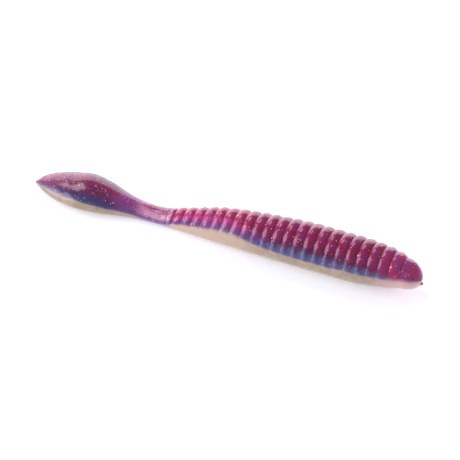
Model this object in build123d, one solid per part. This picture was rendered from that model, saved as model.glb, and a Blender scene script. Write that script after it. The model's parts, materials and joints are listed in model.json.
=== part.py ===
from build123d import *
import math
import os
import random

# Ribbed soft plastic worm, 115 mm long, poured in three layers and flexing at its grooves.
# Millimetres. X runs from the tail (-X) to the nose (+X), Y is sideways, Z is up from the belly.
# The origin is the middle of the length, on the surface that the belly rests on.
# Stations along the worm are measured from the tip of the tail.

# ---- lengths ------------------------------------------------------------------------------
tail_length = 26.0            # leaf-shaped tail, tip to the start of the neck
neck_length = 16.9            # slim neck between the tail and the first rib
rib_pitch = 3.05              # crest to crest along the ribbed body
rib_count = 22
nose_length = 5.16            # smooth nose in front of the last groove
nub_length = 0.4              # gate nub, how far it stands out of the nose

# ---- half widths and half heights of the sections -----------------------------------------
# Sections between these are shares of them, at shares of the tail, the neck and the body.
tip_half_width = 0.4
tip_half_height = 0.3
tail_half_width = 7.0
tail_half_height = 3.3
neck_half_width = 2.95
neck_half_height = 2.0
shoulder_half_width = 3.35    # at the first groove, behind rib 22
shoulder_half_height = 2.7
body_half_width = 6.5
body_half_height = 6.45
head_half_width = 4.6        # at the last groove, behind the nose
head_half_height = 4.5

# ---- undersides ---------------------------------------------------------------------------
rest_flat = 0.3               # depth of the flat that the belly rests on
tip_rise = 1.0                # underside of the tail tip above the resting surface
head_rise = 1.75              # underside of the worm at the last groove
nose_tip_height = 5.1         # centre of the nose's end

# ---- ribs ---------------------------------------------------------------------------------
groove_depth_back = 0.6       # below the crests, over the back
groove_depth_flank = 0.5      # below the crests, on the flanks
rib_roundness = 2.4           # power of the scallop: 2 is a parabola, higher is squarer

# ---- joints -------------------------------------------------------------------------------
ribs_per_section = 2          # ribs that flex as one
head_ribs = 4                 # ribs that stay with the nose
flex_gap = 0.2                # between two sections, at the flex line
flex_margin = 1.5             # degrees left between two faces at the end of the travel
groove_side_limit = 15.0      # degrees to each side at a groove
groove_lift_limit = 12.0      # degrees upwards at a groove
neck_side_limit = 28.0
neck_lift_limit = 22.0
neck_sections = 3

# ---- glitter and nub ----------------------------------------------------------------------
flake_width = 0.6             # across flats
flake_thickness = 0.12
flake_proud = 0.02            # above the skin
flakes_per_section = 8
flake_spread = 50.0           # degrees from the top of the back to the last flake
flake_jitter = 4.0            # degrees
flake_clear = 0.8             # from a flex line to the nearest flake's middle
nub_radius = 0.6
nub_drop = 1.3                # below the centre of the nose's end

# ---- worked out from those ----------------------------------------------------------------
body_start = tail_length + neck_length
body_end = body_start + rib_count * rib_pitch
nose_end = body_end + nose_length
overall_length = nose_end + nub_length
shoulder_end = body_start + 0.27 * (body_end - body_start)
full_start = body_start + 0.58 * (body_end - body_start)
full_end = body_start + 0.80 * (body_end - body_start)
reach = 4 * max(tail_half_width, body_half_height)   # longer than any section is wide


def outline(points):
    """A smooth curve through the points that never overshoots them."""
    xs = [point[0] for point in points]
    ys = [point[1] for point in points]
    count = len(points)
    rises = [(ys[i + 1] - ys[i]) / (xs[i + 1] - xs[i]) for i in range(count - 1)]
    slopes = [rises[0]]
    for before, after in zip(rises, rises[1:]):
        turns = before * after <= 0
        slopes.append(0.0 if turns else 2 * before * after / (before + after))
    slopes.append(rises[-1])

    def value(x):
        i = 0
        while i < count - 2 and x > xs[i + 1]:
            i += 1
        span = xs[i + 1] - xs[i]
        t = min(max((x - xs[i]) / span, 0.0), 1.0)
        start = ys[i] * (1 + 2 * t) * (1 - t) ** 2 + span * slopes[i] * t * (1 - t) ** 2
        end = ys[i + 1] * t * t * (3 - 2 * t) + span * slopes[i + 1] * t * t * (t - 1)
        return start + end

    return value


half_width = outline([
    (0.0, tip_half_width),
    (0.14 * tail_length, 0.50 * tail_half_width),
    (0.38 * tail_length, 0.86 * tail_half_width),
    (0.60 * tail_length, tail_half_width),
    (0.82 * tail_length, 0.88 * tail_half_width),
    (tail_length, 0.38 * tail_half_width + 0.62 * neck_half_width),
    (tail_length + 0.36 * neck_length, 1.08 * neck_half_width),
    (tail_length + 0.70 * neck_length, neck_half_width),
    (body_start, shoulder_half_width),
    (0.5 * (body_start + shoulder_end), 0.48 * shoulder_half_width + 0.52 * (0.85 * body_half_width)),
    (shoulder_end, 0.85 * body_half_width),
    (full_start, body_half_width),
    (full_end, body_half_width),
    (0.5 * (full_end + body_end), 0.25 * head_half_width + 0.75 * body_half_width),
    (body_end, head_half_width),
])
half_height = outline([
    (0.0, tip_half_height),
    (0.14 * tail_length, 0.50 * tail_half_height),
    (0.38 * tail_length, 0.87 * tail_half_height),
    (0.60 * tail_length, tail_half_height),
    (0.82 * tail_length, 0.89 * tail_half_height),
    (tail_length, 0.38 * tail_half_height + 0.62 * neck_half_height),
    (tail_length + 0.36 * neck_length, 1.05 * neck_half_height),
    (tail_length + 0.70 * neck_length, neck_half_height),
    (body_start, shoulder_half_height),
    (0.5 * (body_start + shoulder_end), 0.48 * shoulder_half_height + 0.52 * (0.83 * body_half_height)),
    (shoulder_end, 0.83 * body_half_height),
    (full_start, body_half_height),
    (full_end, body_half_height),
    (0.5 * (full_end + body_end), 0.25 * head_half_height + 0.75 * body_half_height),
    (body_end, head_half_height),
])
underside = outline([
    (0.0, tip_rise),
    (0.14 * tail_length, 0.80 * tip_rise),
    (0.27 * tail_length, 0.15 * tip_rise),
    (0.45 * tail_length, -rest_flat),
    (full_end, -rest_flat),
    (0.5 * (full_end + body_end), 0.25 * head_rise),
    (body_end, head_rise),
])
# Share of a section's height at which the belly pour ends, and at which the back pour starts.
belly_share = outline([
    (0.0, 0.64),
    (0.20 * tail_length, 0.74),
    (0.75 * tail_length, 0.70),
    (tail_length, 0.66),
    (tail_length + 0.35 * neck_length, 0.58),
    (tail_length + 0.70 * neck_length, 0.46),
    (body_start, 0.50),
    (0.65 * body_start + 0.35 * shoulder_end, 0.65),
    (shoulder_end, 0.70),
    (0.5 * (shoulder_end + full_start), 0.56),
    (full_start, 0.50),
    (full_end, 0.53),
    (nose_end, 0.60),
])
back_share = outline([
    (0.0, 0.85),
    (0.20 * tail_length, 0.87),
    (0.75 * tail_length, 0.91),
    (tail_length, 0.92),
    (tail_length + 0.35 * neck_length, 0.80),
    (tail_length + 0.70 * neck_length, 0.72),
    (body_start, 0.74),
    (0.65 * body_start + 0.35 * shoulder_end, 0.87),
    (shoulder_end, 0.87),
    (0.5 * (shoulder_end + full_start), 0.76),
    (full_start, 0.73),
    (full_end, 0.70),
    (nose_end, 0.66),
])


def frame_x(station):
    """The X of a station along the worm."""
    return station - overall_length / 2


def groove_station(ribs_from_head):
    """The station of the groove behind so many ribs, counted from the nose."""
    return body_end - ribs_from_head * rib_pitch


def section_at(station, depth_share):
    """Half width, half height and centre height, with the groove as deep as the share says."""
    if station <= body_end:
        width = half_width(station) - depth_share * groove_depth_flank
        height = half_height(station) - depth_share * groove_depth_back / 2
        return width, height, underside(station) + height
    start_height = head_half_height - groove_depth_back / 2
    along = (station - body_end) / nose_length
    rounding = math.sqrt(max(1 - along * along, 0.0))
    width = (head_half_width - groove_depth_flank) * rounding
    height = start_height * rounding
    start_centre = head_rise + start_height
    return width, height, start_centre + (nose_tip_height - start_centre) * along * along


def scallop(fraction):
    """How deep the skin lies across one rib, from 1 in the groove to 0 on the crest."""
    return abs(2 * fraction - 1) ** rib_roundness


def plain_stations(start, end, step):
    """Evenly spaced smooth sections, as pairs of station and groove share."""
    count = max(2, round((end - start) / step))
    return [(start + (end - start) * i / count, 0.0) for i in range(count + 1)]


def rib_stations(start, end):
    """Sections over the whole ribs between two grooves."""
    ribs = round((end - start) / rib_pitch)
    stations = [(start, 1.0)]
    for rib in range(ribs):
        for fraction in (0.2, 0.5, 0.8, 1.0):
            stations.append((start + (rib + fraction) * rib_pitch, scallop(fraction)))
    return stations


def nose_stations():
    """Sections over the rounded nose, closer together towards its end."""
    turns = (20, 38, 54, 68, 79, 86)
    return [(body_end + nose_length * math.sin(math.radians(turn)), 1.0) for turn in turns]


def skin(stations):
    """The solid inside the sections, cut flat where it rests."""
    rings = []
    for station, depth_share in stations:
        width, height, centre = section_at(station, depth_share)
        plane = Plane(origin=(frame_x(station), 0, centre), x_dir=(0, 1, 0), z_dir=(1, 0, 0))
        rings.append(plane * Ellipse(width, height))
    solid = loft(rings, ruled=True)
    below = Pos(0, 0, -reach / 2) * Box(2 * overall_length, reach, reach)
    return solid - below


def hinge_height(station):
    """Middle of the section at a flex line."""
    return underside(station) + half_height(station)


def side_relief(station, limit, towards):
    """What a section loses at a flex line that bends to the sides."""
    lean = math.tan(math.radians((limit + flex_margin) / 2))
    x = frame_x(station)
    near = x + towards * flex_gap / 2
    far = near + towards * reach * lean
    back = x - towards
    corners = [(back, -reach), (far, -reach), (near, 0), (far, reach), (back, reach)]
    return extrude(Polygon(*corners, align=None), amount=reach, both=True)


def lift_relief(station, limit, towards):
    """What a section loses at a flex line that bends upwards."""
    lean = math.tan(math.radians((limit + flex_margin) / 2))
    x = frame_x(station)
    near = x + towards * flex_gap / 2
    far = near + towards * reach * lean
    back = x - towards
    middle = hinge_height(station)
    corners = [(back, -reach), (near, -reach), (near, middle), (far, middle + reach), (back, middle + reach)]
    outline_face = Plane.XZ * Polygon(*corners, align=None)
    return extrude(outline_face, amount=reach, both=True)


def layer(start, end, lower_share, upper_share):
    """A slab across the whole width between two shares of the section's height."""
    stations = [start - 1, start, (start + end) / 2, end, end + 1]

    def height(station, share):
        inside = min(max(station, 0.0), nose_end)
        held = min(inside, body_end)
        return underside(held) + share(inside) * 2 * half_height(held)

    top = [(frame_x(s), height(s, upper_share)) for s in stations]
    bottom = [(frame_x(s), height(s, lower_share)) for s in reversed(stations)]
    face = Plane.XZ * Polygon(*(top + bottom), align=None)
    return extrude(face, amount=reach, both=True)


def above_all(station):
    """A share above every crest, for the back pour."""
    return 3.0


def below_all(station):
    """A share below every underside, for the belly pour."""
    return -1.0


def flake_plane(station, depth_share, angle):
    """A plane on the skin, with its normal out of the worm, at an angle from the top."""
    width, height, centre = section_at(station, depth_share)
    turn = math.radians(angle)
    y = width * math.sin(turn)
    z = centre + height * math.cos(turn)
    normal = (0, math.sin(turn) / width, math.cos(turn) / height)
    return Plane(origin=(frame_x(station), y, z), x_dir=(1, 0, 0), z_dir=normal)


def flakes(spots):
    """Hexagonal glitter flakes lying in the skin at the given planes."""
    pieces = []
    for plane in spots:
        sunk = plane.offset(flake_proud - flake_thickness)
        hexagon = sunk * RegularPolygon(flake_width / 2, 6, major_radius=False)
        pieces.append(extrude(hexagon, amount=flake_thickness))
    return pieces


def flake_spots(crests, seed):
    """Flakes spread over the back, taking the crests in a mixed order."""
    draw = random.Random(seed)
    mixed = draw.sample(crests, len(crests))
    spots = []
    for i in range(flakes_per_section):
        station, depth_share = mixed[i % len(mixed)]
        even = -flake_spread + 2 * flake_spread * i / (flakes_per_section - 1)
        angle = even + draw.uniform(-flake_jitter, flake_jitter)
        spots.append(flake_plane(station, depth_share, angle))
    return spots


def gate_nub():
    """The nub that the mould's gate leaves on the nose."""
    height = nose_tip_height - nub_drop
    plane = Plane(origin=(frame_x(nose_end) + nub_length, 0, height), z_dir=(-1, 0, 0))
    return extrude(plane * Circle(nub_radius), amount=nub_length + nose_length / 2)


def make_section(name, stations, cuts, spots):
    """Write the pours and the glitter of one flexing section."""
    start = stations[0][0]
    end = stations[-1][0]
    whole = skin(stations)
    if name == "head":
        whole = whole + gate_nub()
    for cut in cuts:
        whole = whole - cut
    glitter = flakes(spots)
    pours = {
        "belly": layer(start, end, below_all, belly_share),
        "flank": layer(start, end, belly_share, back_share),
        "back": layer(start, end, back_share, above_all),
    }
    for pour, slab in pours.items():
        solid = whole & slab
        if pour != "belly":
            for flake in glitter:
                solid = solid - flake
        export_step(solid, f"parts/{name}_{pour}.step")
    export_step(Compound(children=glitter), f"parts/{name}_glitter.step")


# ---- the flexing sections, from the nose to the tail --------------------------------------
os.makedirs("parts", exist_ok=True)

flex_lines = []
for ribs in range(head_ribs, rib_count + 1, ribs_per_section):
    kind = "side" if (ribs - head_ribs) // ribs_per_section % 2 == 0 else "lift"
    limit = groove_side_limit if kind == "side" else groove_lift_limit
    if ribs == rib_count:
        limit = neck_lift_limit if kind == "lift" else neck_side_limit
    flex_lines.append((groove_station(ribs), kind, limit))
for step in range(1, neck_sections + 1):
    kind = "side" if flex_lines[-1][1] == "lift" else "lift"
    limit = neck_side_limit if kind == "side" else neck_lift_limit
    flex_lines.append((body_start - neck_length * step / neck_sections, kind, limit))

names = ["head"]
for ribs in range(head_ribs, rib_count, ribs_per_section):
    names.append(f"ribs_{ribs + 1:02d}_{ribs + ribs_per_section:02d}")
for step in range(1, neck_sections + 1):
    names.append(f"neck_{step}")
names.append("tail")

reliefs = {"side": side_relief, "lift": lift_relief}
for i, name in enumerate(names):
    front = nose_end if i == 0 else flex_lines[i - 1][0]
    rear = 0.0 if name == "tail" else flex_lines[i][0]
    if name == "head":
        stations = rib_stations(rear, body_end) + nose_stations()
    elif name.startswith("ribs"):
        stations = rib_stations(rear, front)
    else:
        stations = plain_stations(rear, front, rib_pitch / 2)
    clear_rear = rear + flake_clear
    clear_front = front - flake_clear
    crests = [pair for pair in stations if clear_rear < pair[0] < clear_front and pair[1] == 0.0]
    cuts = []
    if i > 0:
        station, kind, limit = flex_lines[i - 1]
        cuts.append(reliefs[kind](station, limit, -1))
    if name != "tail":
        station, kind, limit = flex_lines[i]
        cuts.append(reliefs[kind](station, limit, 1))
    make_section(name, stations, cuts, flake_spots(crests, i))

for (station, kind, limit), name in zip(flex_lines, names[1:]):
    print(f"{name}: bends {kind} {limit} at x {frame_x(station):.3f} z {hinge_height(station):.3f}")
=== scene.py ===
import json
import math
import random

import bpy
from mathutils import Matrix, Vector

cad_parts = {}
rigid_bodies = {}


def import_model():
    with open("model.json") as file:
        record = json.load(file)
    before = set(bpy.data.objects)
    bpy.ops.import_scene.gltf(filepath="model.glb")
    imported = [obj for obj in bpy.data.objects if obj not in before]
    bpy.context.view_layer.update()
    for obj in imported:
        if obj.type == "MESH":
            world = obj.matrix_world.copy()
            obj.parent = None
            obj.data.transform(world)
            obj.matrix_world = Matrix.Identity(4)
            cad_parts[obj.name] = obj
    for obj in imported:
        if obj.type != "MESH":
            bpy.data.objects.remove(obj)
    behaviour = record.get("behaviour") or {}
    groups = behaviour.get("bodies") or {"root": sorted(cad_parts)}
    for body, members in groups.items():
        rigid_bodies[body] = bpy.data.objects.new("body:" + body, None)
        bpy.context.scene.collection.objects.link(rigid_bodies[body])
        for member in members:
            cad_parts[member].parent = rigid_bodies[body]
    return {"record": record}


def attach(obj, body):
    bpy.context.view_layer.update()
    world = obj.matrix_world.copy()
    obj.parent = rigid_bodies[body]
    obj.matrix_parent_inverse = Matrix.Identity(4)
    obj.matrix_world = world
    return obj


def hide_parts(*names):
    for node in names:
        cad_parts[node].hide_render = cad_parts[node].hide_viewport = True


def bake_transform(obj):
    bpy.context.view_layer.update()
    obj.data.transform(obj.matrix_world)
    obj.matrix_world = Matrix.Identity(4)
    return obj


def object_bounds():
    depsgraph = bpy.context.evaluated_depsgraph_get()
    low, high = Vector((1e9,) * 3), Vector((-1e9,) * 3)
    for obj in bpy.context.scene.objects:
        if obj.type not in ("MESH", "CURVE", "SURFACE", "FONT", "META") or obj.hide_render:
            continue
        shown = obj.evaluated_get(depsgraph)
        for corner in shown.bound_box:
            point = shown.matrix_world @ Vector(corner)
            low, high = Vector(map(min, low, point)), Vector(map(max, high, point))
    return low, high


# Ribbed soft plastic worm. Lengths are in metres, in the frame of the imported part: X from the tail
# to the nose, Z up from the belly. Stations are measured from the tip of the tail.

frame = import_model()
cad_low, cad_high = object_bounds()
MM = 0.001

# ---- lengths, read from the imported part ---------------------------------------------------
ordered = frame["record"]["behaviour"]["joints"]            # from the head to the tail
joints = {joint["name"]: joint for joint in ordered}
tail_tip = cad_low[0]
rib_count = 22
head_ribs = 4                                               # ribs ahead of the first joint


def joint_station(name):
    """Where a joint lies along the worm, from the tip of the tail."""
    return joints[name]["pos_m"][0] - tail_tip


shoulder = joint_station("groove_22_lift")                  # the groove behind the last rib
rib_pitch = (joint_station("groove_04_side") - shoulder) / (rib_count - head_ribs)
body_end = shoulder + rib_count * rib_pitch                 # the groove behind the nose
tail_length = joint_station("tail_side")
neck_length = shoulder - tail_length
nub_length = 0.4 * MM
nose_end = cad_high[0] - tail_tip - nub_length
nose_length = nose_end - body_end

# ---- shape --------------------------------------------------------------------------------
groove_depth_back = 0.52 * MM
groove_depth_flank = 0.52 * MM
rib_sharpness = 2.0             # power of the scallop between two grooves
groove_overlap = 0.12           # share of the height by which it reaches below the cream's edge
groove_run_out = 0.28           # share of the height in which it runs out
neck_ring_depth = 0.12 * MM     # the faint ring, half a rib behind the first groove
neck_ring_width = 0.30 * MM
first_groove_fade = 0.25        # share of a rib in which the first groove fades in over the neck
nose_shade_fade = 0.3           # share of a rib in which the last groove's shade fades out on the nose
belly_softness = 0.08 * MM      # rounding between the belly and the flat on which it rests
ring_points = 128               # mesh points around the worm
skin_step = 0.2 * MM            # mesh spacing along the smooth parts
steps_per_rib = 16
nose_rows = 40
groove_tolerance = 0.01         # in ribs, for telling which mesh rows lie in a groove
blue_lean = 0.12                # share of the height by which the blue lies lower on the left side


def outline(points):
    """A smooth curve through the points that never overshoots them."""
    xs = [point[0] for point in points]
    ys = [point[1] for point in points]
    count = len(points)
    rises = [(ys[i + 1] - ys[i]) / (xs[i + 1] - xs[i]) for i in range(count - 1)]
    slopes = [rises[0]]
    for before, after in zip(rises, rises[1:]):
        turns = before * after <= 0
        slopes.append(0.0 if turns else 2 * before * after / (before + after))
    slopes.append(rises[-1])

    def value(x):
        i = 0
        while i < count - 2 and x > xs[i + 1]:
            i += 1
        span = xs[i + 1] - xs[i]
        t = min(max((x - xs[i]) / span, 0.0), 1.0)
        start = ys[i] * (1 + 2 * t) * (1 - t) ** 2 + span * slopes[i] * t * (1 - t) ** 2
        end = ys[i + 1] * t * t * (3 - 2 * t) + span * slopes[i + 1] * t * t * (t - 1)
        return start + end

    return value


def along_tail(share):
    return share * tail_length


def along_neck(share):
    return tail_length + share * neck_length


def along_body(share):
    return shoulder + share * (body_end - shoulder)


def profile(pairs):
    """An outline from stations in metres and sizes in millimetres."""
    return outline([(station, size * MM) for station, size in pairs])


# Station, half of the width and half of the height of a section, over the crests.
sections = [
    (along_tail(0.0), 0.40, 0.30), (along_tail(0.065), 1.97, 1.04), (along_tail(0.14), 3.44, 1.63),
    (along_tail(0.27), 5.12, 2.42), (along_tail(0.40), 6.15, 2.93), (along_tail(0.60), 7.00, 3.30),
    (along_tail(0.81), 6.24, 2.97), (along_tail(1.0), 4.72, 2.46), (along_neck(0.33), 3.33, 2.11),
    (along_neck(0.65), 2.95, 1.98), (along_neck(0.905), 3.08, 2.40), (along_neck(1.0), 3.33, 2.68),
    (along_body(0.022), 3.60, 2.98), (along_body(0.115), 4.40, 4.00), (along_body(0.21), 5.20, 5.00),
    (along_body(0.345), 5.86, 5.72), (along_body(0.52), 6.36, 6.30), (along_body(0.63), 6.52, 6.47),
    (along_body(0.79), 6.50, 6.46), (along_body(0.875), 6.15, 6.05), (along_body(0.94), 5.60, 5.50),
    (along_body(1.0), 4.62, 4.50),
]
half_width = profile([(station, width) for station, width, height in sections])
half_height = profile([(station, height) for station, width, height in sections])

# Lowest height of a section. Where it is below 0 the belly is cut flat at 0 and rests there.
underside = profile([
    (along_tail(0.0), 0.97), (along_tail(0.065), 1.02), (along_tail(0.14), 0.75), (along_tail(0.27), 0.12),
    (along_tail(0.45), -0.3), (along_body(0.80), -0.3), (along_body(0.875), 0.24), (along_body(0.94), 0.78),
    (along_body(1.0), 1.75),
])
nose_tip_height = 5.1 * MM
nub_drop = 1.3 * MM             # below the middle of the nose's end
nub_height = nose_tip_height - nub_drop

# Share of a section's height at which the cream ends, and at which the blue turns to magenta.
cream_share = outline([
    (along_tail(0.0), 0.66), (along_tail(0.2), 0.745), (along_tail(0.4), 0.735), (along_tail(0.75), 0.70),
    (along_tail(1.0), 0.665), (along_neck(0.27), 0.60), (along_neck(0.54), 0.47), (along_neck(0.82), 0.43),
    (along_neck(0.95), 0.50), (along_body(0.017), 0.59), (along_body(0.08), 0.655), (along_body(0.15), 0.685),
    (along_body(0.275), 0.70), (along_body(0.345), 0.62), (along_body(0.41), 0.56), (along_body(0.48), 0.517),
    (along_body(0.67), 0.50), (along_body(0.77), 0.535), (along_body(0.90), 0.525), (along_body(1.0), 0.57),
    (nose_end, 0.63),
])
blue_share = outline([
    (along_tail(0.0), 0.84), (along_tail(0.2), 0.90), (along_tail(0.4), 0.915), (along_tail(0.6), 0.905),
    (along_tail(0.78), 0.935), (along_tail(1.0), 0.93), (along_neck(0.23), 0.86), (along_neck(0.54), 0.74),
    (along_neck(0.86), 0.70), (along_body(0.007), 0.78), (along_body(0.08), 0.86), (along_body(0.25), 0.86),
    (along_body(0.345), 0.80), (along_body(0.43), 0.75), (along_body(0.54), 0.735),
    (along_body(0.715), 0.715), (along_body(0.85), 0.69), (along_body(0.93), 0.63),
    (along_body(1.0), 0.57), (nose_end, 0.60),
])

# Weights of the colour zones along the worm, from 0 to 1.
pale_tip = outline([(0.0, 1.0), (along_tail(0.12), 0.85), (along_tail(0.45), 0.12), (along_tail(0.6), 0.0),
                    (nose_end, 0.0)])
pink_rear = outline([(0.0, 0.0), (along_tail(0.8), 0.0), (along_neck(0.36), 0.75), (along_neck(0.9), 1.0),
                     (along_body(0.285), 0.9), (along_body(0.41), 0.2), (along_body(0.59), 0.0),
                     (nose_end, 0.0)])
lilac_neck = outline([(0.0, 0.0), (along_tail(0.85), 0.0), (along_neck(0.2), 0.35), (along_neck(0.42), 0.65),
                      (along_neck(0.66), 1.0), (along_neck(0.97), 0.9), (along_body(0.004), 0.0),
                      (nose_end, 0.0)])
violet_nose = outline([(0.0, 0.0), (along_body(0.84), 0.0), (along_body(0.95), 0.6), (along_body(1.0), 1.0),
                       (nose_end, 1.0)])


def scallop(station):
    """How deep the skin lies across one rib: 1 in the groove, 0 on the crest."""
    ribs = (station - shoulder) / rib_pitch
    return abs(2 * (ribs - math.floor(ribs)) - 1) ** rib_sharpness


def first_groove(station):
    """Lets the first groove fade in over the neck."""
    return max(0.0, 1 - (shoulder - station) / (first_groove_fade * rib_pitch)) ** 2


def skin_point(station, angle):
    """A point of the skin, its share of the height and how far it lies in a groove.

    The angle is measured from the top of the back towards the left side.
    """
    side, up = math.sin(angle), math.cos(angle)
    share = (1 + up) / 2
    fade = min(max((share - cream_share(station) + groove_overlap) / groove_run_out, 0.0), 1.0)
    fade = fade * fade * (3 - 2 * fade)
    held = min(station, body_end)
    width = half_width(held)
    height = half_height(held)
    bottom = underside(held)
    depth = scallop(held) if station >= shoulder else first_groove(station)
    width -= depth * fade * groove_depth_flank
    top_loss = depth * fade * groove_depth_back
    middle = bottom + height
    from_ring = (station - shoulder + rib_pitch / 2) / neck_ring_width
    ring = math.exp(-from_ring ** 2) * neck_ring_depth * fade
    y = (width - ring) * side
    z = middle + (height - top_loss - ring) * up
    if station > body_end:
        t = (station - body_end) / nose_length
        rounding = math.sqrt(max(1 - t * t, 0.0))
        y *= rounding
        centre = middle + (nose_tip_height - middle) * t * t
        z = centre + (z - middle) * rounding
    z = (z + math.sqrt(z * z + belly_softness * belly_softness)) / 2
    shaded = depth * fade * max(0.0, 1 - max(station - body_end, 0.0) / (nose_shade_fade * rib_pitch))
    return Vector((tail_tip + station, y, z)), share, shaded


def skin_rows(start, end):
    """Stations of the mesh rows between two cuts, closer together on the nose."""
    marks = [start] + [mark for mark in (shoulder, body_end) if start + skin_step < mark < end] + [end]
    rows = [start]
    for first, last in zip(marks, marks[1:]):
        if last > body_end + skin_step:
            turns = [math.pi / 2 * turn / nose_rows for turn in range(1, nose_rows)]
            rows += [body_end + nose_length * math.sin(turn) for turn in turns]
            continue
        step = rib_pitch / steps_per_rib if last > shoulder + skin_step else skin_step
        count = max(1, round((last - first) / step))
        rows += [first + (last - first) * i / count for i in range(1, count + 1)]
    return rows


def point_attribute(mesh, name, values):
    """Stores a vector at each mesh point, for the materials to read."""
    attribute = mesh.attributes.new(name, "FLOAT_VECTOR", "POINT")
    attribute.data.foreach_set("vector", [number for value in values for number in value])


def add_object(name, data):
    """Puts a mesh, a light or a camera in the scene."""
    made = bpy.data.objects.new(name, data)
    bpy.context.scene.collection.objects.link(made)
    return made


def crease(mesh, rows):
    """Makes sharp edges of the groove bottoms and of the cut ends."""
    creased = {0, len(rows) - 1}
    for row, station in enumerate(rows):
        ribs = (station - shoulder) / rib_pitch
        on_ribs = -groove_tolerance < ribs < rib_count + groove_tolerance
        if on_ribs and abs(ribs - round(ribs)) < groove_tolerance:
            creased.add(row)
    if rows[0] == 0.0:
        creased.discard(0)
    skin_points = len(rows) * ring_points
    sharp = []
    for edge in mesh.edges:
        first, second = edge.vertices
        row = first // ring_points
        on_skin = first < skin_points and second < skin_points
        sharp.append(on_skin and row == second // ring_points and row in creased)
    if "sharp_edge" not in mesh.attributes:
        mesh.attributes.new("sharp_edge", "BOOLEAN", "EDGE")
    mesh.attributes["sharp_edge"].data.foreach_set("value", sharp)
    mesh.update()


def skin_piece(name, start, end):
    """One closed length of the skin, from a row at start to a row at end."""
    rows = skin_rows(start, end)
    points, rest, pour, zone, neck = [], [], [], [], []
    for station in rows:
        cream_end = cream_share(station)
        blue_end = blue_share(station)
        here = (pale_tip(station), pink_rear(station), violet_nose(station))
        lilac = (lilac_neck(station), 0.0, 0.0)
        for i in range(ring_points):
            angle = 2 * math.pi * i / ring_points
            point, share, depth = skin_point(station, angle)
            points.append(point)
            rest.append(point / MM)
            lean = blue_lean * max(math.sin(angle), 0.0)
            pour.append((share - cream_end, share - blue_end + lean, depth))
            zone.append(here)
            neck.append(lilac)
    faces = []
    for row in range(len(rows) - 1):
        for i in range(ring_points):
            a = row * ring_points + i
            b = row * ring_points + (i + 1) % ring_points
            faces.append((a, b, b + ring_points, a + ring_points))
    for row, turned in ((0, True), (len(rows) - 1, False)):
        ring = [row * ring_points + i for i in range(ring_points)]
        middle = sum((points[i] for i in ring), Vector()) / ring_points
        points.append(middle)
        rest.append(middle / MM)
        for values in (pour, zone, neck):
            values.append((0.0, 0.0, 0.0))
        hub = len(points) - 1
        for i in range(ring_points):
            a, b = ring[i], ring[(i + 1) % ring_points]
            faces.append((b, a, hub) if turned else (a, b, hub))
    mesh = bpy.data.meshes.new(name)
    mesh.from_pydata([tuple(p) for p in points], [], faces)
    mesh.update()
    point_attribute(mesh, "rest_mm", rest)
    point_attribute(mesh, "pour", pour)
    point_attribute(mesh, "zone", zone)
    point_attribute(mesh, "neck", neck)
    mesh.shade_smooth()
    crease(mesh, rows)
    return add_object(name, mesh)


# ---- shader maths -------------------------------------------------------------------------
class Value:
    """A socket that can be used in Python arithmetic."""

    def __init__(self, maker, socket):
        self.maker = maker
        self.socket = socket

    def _math(self, operation, first, second):
        return self.maker.node("ShaderNodeMath", {"operation": operation}, {0: first, 1: second})

    def __add__(self, other):
        return self._math("ADD", self, other)

    __radd__ = __add__

    def __sub__(self, other):
        return self._math("SUBTRACT", self, other)

    def __rsub__(self, other):
        return self._math("SUBTRACT", other, self)

    def __mul__(self, other):
        return self._math("MULTIPLY", self, other)

    __rmul__ = __mul__

    def __pow__(self, other):
        return self._math("POWER", self, other)

    def above(self, limit):
        return self._math("GREATER_THAN", self, limit)

    def below(self, limit):
        return self._math("LESS_THAN", self, limit)


class Finish:
    """Builds one material's nodes."""

    def __init__(self, name):
        self.material = bpy.data.materials.new(name)
        self.material.use_nodes = True
        self.nodes = self.material.node_tree.nodes
        self.links = self.material.node_tree.links
        self.nodes.clear()

    def node(self, kind, settings=None, inputs=None, output=0):
        """Adds a node: its settings first, then the values or links of its sockets."""
        made = self.nodes.new(kind)
        for key, value in (settings or {}).items():
            setattr(made, key, value)
        for key, value in (inputs or {}).items():
            if isinstance(value, Value):
                self.links.new(value.socket, made.inputs[key])
            else:
                made.inputs[key].default_value = value
        if not len(made.outputs):
            return None
        if isinstance(output, tuple):
            return [Value(self, made.outputs[key]) for key in output]
        return Value(self, made.outputs[output])

    def stored(self, name):
        """A vector that point_attribute has stored in the mesh."""
        return self.node("ShaderNodeAttribute", {"attribute_name": name}, output="Vector")

    def parts(self, vector):
        """The three numbers of a vector."""
        return self.node("ShaderNodeSeparateXYZ", None, {0: vector}, output=(0, 1, 2))

    def mix(self, factor, first, second):
        """Mixes two colours."""
        settings = {"data_type": "RGBA"}
        return self.node("ShaderNodeMix", settings, {0: factor, 6: first, 7: second}, output=2)

    def ramp(self, value, low, high):
        """0 below low, 1 above high, smooth between."""
        settings = {"interpolation_type": "SMOOTHSTEP"}
        return self.node("ShaderNodeMapRange", settings, {0: value, 1: low, 2: high, 3: 0.0, 4: 1.0})

    def noise(self, vector, scale, detail=3.0, roughness=0.5):
        inputs = {"Vector": vector, "Scale": scale, "Detail": detail, "Roughness": roughness}
        return self.node("ShaderNodeTexNoise", None, inputs)

    def surface(self, inputs):
        shader = self.node("ShaderNodeBsdfPrincipled", None, inputs)
        self.node("ShaderNodeOutputMaterial", None, {"Surface": shader})
        return self.material


def colour(red, green, blue):
    """An opaque colour."""
    return (red, green, blue, 1.0)


def tone(red, green, blue):
    """A colour as it looks on a screen, 0 to 255, turned into light."""
    parts = [part / 255 for part in (red, green, blue)]
    return colour(*[p / 12.92 if p < 0.04045 else ((p + 0.055) / 1.055) ** 2.4 for p in parts])


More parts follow.
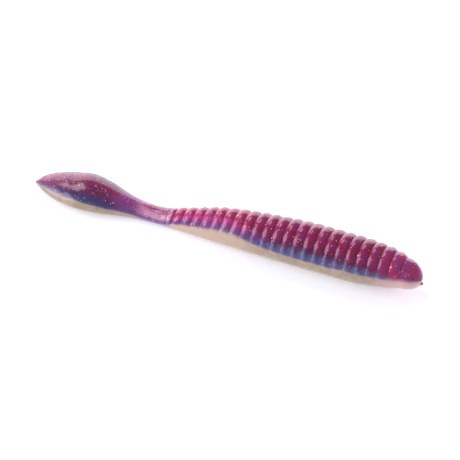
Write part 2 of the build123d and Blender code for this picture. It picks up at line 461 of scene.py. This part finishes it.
def laminated_plastisol():
    """Cream belly, blue flank and magenta back, with fine glitter in the upper pours."""
    f = Finish("laminated_plastisol")
    rest = f.stored("rest_mm")
    over_cream, over_blue, depth = f.parts(f.stored("pour"))
    tip, rear, nose = f.parts(f.stored("zone"))
    neck = f.parts(f.stored("neck"))[0]

    wobble = f.noise(rest, 0.35, 3.0) - 0.5
    cloud = f.ramp(f.noise(rest, 0.45, 4.0), 0.35, 0.65)
    grain = f.noise(rest, 3.0, 3.0)
    crisp_cream = f.ramp(over_cream + wobble * 0.06, -0.03, 0.045)
    faded_cream = f.ramp(over_cream + wobble * 0.12, -0.09, 0.11)
    blur = nose * 0.9 + rear * 0.5
    above_cream = faded_cream * blur + crisp_cream * (1 - blur)
    above_blue = f.ramp(over_blue + wobble * 0.16, -0.11, 0.08)

    cream = f.mix(cloud, tone(164, 142, 120), tone(180, 159, 140))
    cream = f.mix(rear, cream, tone(200, 172, 154))
    cream = f.mix(nose * 0.9, cream, tone(230, 184, 182))
    cream = f.mix(tip * 0.8, cream, tone(134, 118, 112))
    cream = f.mix(neck * 0.85, cream, tone(166, 146, 176))
    cream = f.mix(f.ramp(grain, 0.5, 0.75) * 0.3, cream, tone(206, 190, 174))

    blue = f.mix(cloud, tone(48, 42, 84), tone(58, 54, 104))
    # Painted highlight: the blue turns lighter with groove depth, standing in for light scattered in the
    # grooves.
    blue = f.mix(depth ** 0.6, blue, tone(104, 110, 162))
    blue = f.mix(f.ramp(over_cream, 0.16, 0.02) * 0.4, blue, tone(96, 104, 164))
    blue = f.mix(rear * 0.85, blue, tone(120, 66, 134))
    blue = f.mix(tip * 0.9, blue, tone(104, 98, 138))
    blue = f.mix(neck * 0.85, blue, tone(128, 98, 152))

    back = f.mix(cloud, tone(128, 18, 68), tone(138, 28, 98))
    back = f.mix(f.ramp(over_blue, 0.22, 0.0) * 0.75, back, tone(78, 24, 68))
    hot_pink = f.mix(cloud, tone(204, 58, 124), tone(192, 74, 154))
    hot_pink = f.mix(f.ramp(over_blue, 0.10, 0.0) * 0.6, hot_pink, tone(140, 62, 140))
    hot_pink = f.mix(f.ramp(over_blue, 0.08, 0.13) * 0.8, hot_pink, tone(150, 34, 84))
    back = f.mix(rear * 0.9, back, hot_pink)
    back = f.mix(nose * 0.85, back, f.mix(cloud, tone(192, 46, 108), tone(136, 60, 132)))
    back = f.mix(tip * 0.8, back, tone(138, 66, 112))
    # Painted highlight: below its top, the neck's back turns from deep pink to a pale lilac pink.
    neck_pink_with_painted_highlight = f.mix(f.ramp(over_blue, 0.28, 0.19), tone(140, 56, 112), tone(198, 138, 174))
    violet = f.ramp(neck, 0.0, 0.25) * f.ramp(rear, 1.0, 0.85)
    back = f.mix(violet * 0.85, back, tone(116, 52, 124))
    back = f.mix(f.ramp(neck, 0.35, 0.9), back, neck_pink_with_painted_highlight)
    # Painted shade: the back turns darker crimson deep in the grooves, where shade falls.
    back = f.mix(depth ** 3.0 * 0.5, back, tone(120, 16, 60))

    base = f.mix(above_blue, blue, back)
    base = f.mix(above_cream, cream, base)

    cells = {"Vector": rest, "Scale": 1.8}
    near, cell = f.node("ShaderNodeTexVoronoi", None, cells, ("Distance", "Color"))
    pick, tint, lean = f.parts(cell)
    speck = near.below(0.33) * pick.above(0.35) * above_cream
    speck_colour = f.mix(tint.above(0.45), tone(54, 40, 92), tone(196, 44, 84))
    speck_colour = f.mix(tint.above(0.88), speck_colour, tone(226, 176, 200))
    base = f.mix(speck * (lean * 0.5 + 0.35), base, speck_colour)

    bumps = f.noise(rest, 1.4, 2.0) * 0.5 + grain * 0.2
    normal = f.node("ShaderNodeBump", None, {"Strength": 0.12, "Distance": 0.0001, "Height": bumps})
    return f.surface({
        "Base Color": base,
        "Metallic": speck * 0.1,
        "Roughness": f.noise(rest, 0.9, 2.0) * 0.12 + tip * 0.12 + 0.07,
        "Normal": normal,
        "IOR": 1.42,
    })


def glitter_foil(name, tint, shade):
    """Metallised polyester flake."""
    f = Finish(name)
    cloud = f.noise(f.stored("rest_mm"), 2.0, 2.0)
    base = f.mix(f.ramp(cloud, 0.35, 0.65), tint, shade)
    scratch = f.node("ShaderNodeBump", None, {"Strength": 0.2, "Distance": 0.00005, "Height": cloud})
    return f.surface({
        "Base Color": base,
        "Metallic": 0.6,
        "Roughness": cloud * 0.15 + 0.28,
        "Normal": scratch,
        "Coat Weight": 0.5,
    })


flake_half_angle = math.radians(64)     # flakes lie within this angle of the top of the back
flake_margin = 0.5 * MM                 # kept free at both ends of a length of skin
flake_thickness = 0.10 * MM
flake_sunk = 0.75                       # share of its thickness that lies under the skin
flake_tilt = 0.25
flake_corners = 6
probe_step = 0.1 * MM                   # how far off the skin is felt for its direction
probe_angle = 0.02


def flake_piece(name, start, end, count, seed, width, finish, slot):
    """Hexagonal flakes lying in the skin between two stations."""
    draw = random.Random(seed)
    points, faces, rest = [], [], []
    for _ in range(count):
        station = draw.uniform(start, end)
        angle = draw.uniform(-flake_half_angle, flake_half_angle)
        centre = skin_point(station, angle)[0]
        ahead = skin_point(min(station + probe_step, nose_end), angle)[0] - centre
        across = skin_point(station, angle + probe_angle)[0] - centre
        normal = ahead.cross(across).normalized()
        if normal.dot(Vector((0, math.sin(angle), math.cos(angle)))) < 0:
            normal = -normal
        tilt = Vector((draw.uniform(-1, 1), draw.uniform(-1, 1), draw.uniform(-1, 1))) * flake_tilt
        normal = (normal + tilt).normalized()
        first = normal.orthogonal().normalized()
        second = normal.cross(first)
        turn = draw.uniform(0, math.pi)
        size = width * draw.uniform(0.8, 1.15) / 2
        base = len(points)
        for level in (-flake_thickness * flake_sunk, flake_thickness * (1 - flake_sunk)):
            for corner in range(flake_corners):
                a = turn + corner * 2 * math.pi / flake_corners
                point = centre + (first * math.cos(a) + second * math.sin(a)) * size + normal * level
                point.z = max(point.z, 0.0)
                points.append(point)
                rest.append(point / MM)
        upper = base + flake_corners
        faces.append([base + i for i in reversed(range(flake_corners))])
        faces.append([upper + i for i in range(flake_corners)])
        for i in range(flake_corners):
            j = (i + 1) % flake_corners
            faces.append([base + i, base + j, upper + j, upper + i])
    mesh = bpy.data.meshes.new(name)
    mesh.from_pydata([tuple(p) for p in points], [], faces)
    mesh.update()
    point_attribute(mesh, "rest_mm", rest)
    mesh.materials.append(finish)
    piece = add_object(name, mesh)
    return piece


# ---- the worm -----------------------------------------------------------------------------
bodies = [ordered[0]["parent"]] + [joint["child"] for joint in ordered]
hinges = [joint_station(joint["name"]) for joint in ordered]

plastisol = laminated_plastisol()
red_foil = glitter_foil("red_glitter_foil", tone(176, 24, 64), tone(132, 14, 50))
silver_foil = glitter_foil("silver_glitter_foil", tone(206, 176, 198), tone(170, 140, 176))

# Flakes per millimetre of worm, the least number in a piece, and their width.
red_density, red_least, red_width = 2.6, 6, 0.42 * MM
silver_density, silver_least, silver_width = 0.45, 3, 0.34 * MM

# The skin is cut once ahead of all the hinges, midway between them, and once behind the last.
last_cut = 4.2 * MM             # behind the tail's hinge
cuts = [hinges[0] + rib_pitch]
cuts += [(front + rear) / 2 for front, rear in zip(hinges, hinges[1:])]
cuts.append(hinges[-1] - last_cut)
ends = [nose_end] + cuts + [0.0]

# Two joints listed apart; lay_on bakes their pieces the same way as all the others.
bent_from_rear = ("groove_14_lift", "groove_20_side")


def lay_on(piece, index):
    """Rides the first and last pieces on their bodies and bakes the placement of the others into their
    meshes.
    """
    if index == 0:
        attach(piece, bodies[0])
    elif index == len(ends) - 2:
        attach(piece, bodies[-1])
    else:
        front = (tail_tip + ends[index], 0, 0)
        rear = (tail_tip + ends[index + 1], 0, 0)
        if ordered[index - 1]["name"] in bent_from_rear:
            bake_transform(piece)
        else:
            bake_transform(piece)


for index in range(len(ends) - 1):
    front, rear = ends[index], ends[index + 1]
    length = front - rear
    skin = skin_piece(f"skin_{index + 1:02d}", rear, front)
    skin.data.materials.append(plastisol)
    flaked = (rear + flake_margin, front - flake_margin)
    red_count = max(red_least, round(length / MM * red_density))
    silver_count = max(silver_least, round(length / MM * silver_density))
    reds = flake_piece(f"red_flakes_{index + 1:02d}", *flaked, red_count, 100 + index,
                       red_width, red_foil, "red_glitter")
    silvers = flake_piece(f"silver_flakes_{index + 1:02d}", *flaked, silver_count, 200 + index,
                          silver_width, silver_foil, "silver_glitter")
    for piece in (skin, reds, silvers):
        lay_on(piece, index)
    if index < len(bodies):
        body = bodies[index]
        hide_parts(*[f"{body}_{pour}" for pour in ("belly", "flank", "back")])
        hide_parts(f"{body}_glitter")


nub_root = 1.6                  # millimetres, how far the nub starts inside the nose
nub_turns = 32                  # mesh points around the nub
# Distance ahead of the end of the nose and radius, in millimetres.
nub_outline = [(-nub_root, 0.95), (-0.8, 0.86), (-0.35, 0.66), (-0.1, 0.48), (0.12, 0.36), (0.28, 0.25),
               (0.37, 0.12)]
nub_cream_scale = 6 * MM        # spreads the nub's heights over the colours of the skin
nub_above_blue = 0.02


def gate_nub():
    """The pointed nub that the mould's gate leaves on the nose."""
    points, faces = [], []
    for ahead, radius in nub_outline:
        for i in range(nub_turns):
            angle = 2 * math.pi * i / nub_turns
            y = radius * math.cos(angle) * MM
            z = nub_height + radius * math.sin(angle) * MM
            points.append((tail_tip + nose_end + ahead * MM, y, z))
    rings = len(nub_outline)
    for ring in range(rings - 1):
        for i in range(nub_turns):
            a = ring * nub_turns + i
            b = ring * nub_turns + (i + 1) % nub_turns
            faces.append((a, b, b + nub_turns, a + nub_turns))
    points.append((tail_tip + nose_end + nub_length, 0.0, nub_height))
    points.append((tail_tip + nose_end - nub_root * MM, 0.0, nub_height))
    tip, root = rings * nub_turns, rings * nub_turns + 1
    for i in range(nub_turns):
        j = (i + 1) % nub_turns
        faces.append(((rings - 1) * nub_turns + i, (rings - 1) * nub_turns + j, tip))
        faces.append((j, i, root))
    mesh = bpy.data.meshes.new("gate_nub")
    mesh.from_pydata(points, [], faces)
    mesh.shade_smooth()
    point_attribute(mesh, "rest_mm", [Vector(point) / MM for point in points])
    pour = [((point[2] - nub_height) / nub_cream_scale, nub_above_blue, 0.0) for point in points]
    point_attribute(mesh, "pour", pour)
    point_attribute(mesh, "zone", [(0.0, 0.0, 1.0)] * len(points))
    point_attribute(mesh, "neck", [(0.0, 0.0, 0.0)] * len(points))
    mesh.materials.append(plastisol)
    nub = add_object("gate_nub", mesh)
    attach(nub, bodies[0])


gate_nub()


# ---- floor, light and camera --------------------------------------------------------------
def white_floor():
    """Pale, slightly glossy floor."""
    f = Finish("white_floor")
    return f.surface({
        "Base Color": colour(0.78, 0.80, 0.94),
        "Roughness": 0.22,
        "Specular IOR Level": 0.5,
        "Emission Color": colour(1.0, 1.0, 1.0),
        "Emission Strength": 0.36,
    })


floor_size = 6.0
bpy.ops.mesh.primitive_plane_add(size=floor_size, location=(0, 0, 0))
floor = bpy.context.object
floor.name = "floor"
floor.data.materials.append(white_floor())

world = bpy.data.worlds.new("studio")
bpy.context.scene.world = world
world.use_nodes = True
background = world.node_tree.nodes["Background"]
background.inputs["Color"].default_value = colour(1.0, 1.0, 1.0)
background.inputs["Strength"].default_value = 0.52


def softbox(name, place, size, brightness):
    """A rectangular light that faces the worm; its power follows from its size and brightness."""
    light = bpy.data.lights.new(name, "AREA")
    light.shape = "RECTANGLE"
    light.size, light.size_y = size
    light.energy = math.pi * size[0] * size[1] * brightness
    lamp = add_object(name, light)
    lamp.location = place
    lamp.rotation_euler = (-Vector(place)).to_track_quat("-Z", "Y").to_euler()
    lamp.visible_camera = False


# Name, place, width and height in metres, and brightness.
softbox("backdrop", (-0.29, 0.72, 0.225), (1.25, 0.49), 2.8)
softbox("left_softbox", (-0.575, -0.235, 0.31), (0.52, 0.50), 5.0)
softbox("high_softbox", (-0.371, 0.308, 0.575), (0.27, 0.27), 5.5)

elevation = math.radians(42.0)
azimuth = math.radians(23.0)    # towards the nose
distance = 0.700
focal_length = 199.5            # millimetres, for a sensor 36 mm wide
aim_right = 0.00143             # the camera looks this far beside and below the worm's middle
aim_down = 0.00065
towards = Vector((math.sin(azimuth) * math.cos(elevation), -math.cos(azimuth) * math.cos(elevation),
                  math.sin(elevation)))
right = Vector((0, 0, 1)).cross(towards).normalized()
up = towards.cross(right)
middle = Vector((0, 0, 0.004))
camera_data = bpy.data.cameras.new("camera")
camera_data.sensor_width = 36.0
camera_data.lens = focal_length
camera_data.clip_start = 0.01
camera = add_object("camera", camera_data)
camera.location = middle + towards * distance
aim = middle + right * aim_right - up * aim_down
camera.rotation_euler = (aim - camera.location).to_track_quat("-Z", "Y").to_euler()
bpy.context.scene.camera = camera
bpy.context.scene.view_settings.view_transform = "Standard"
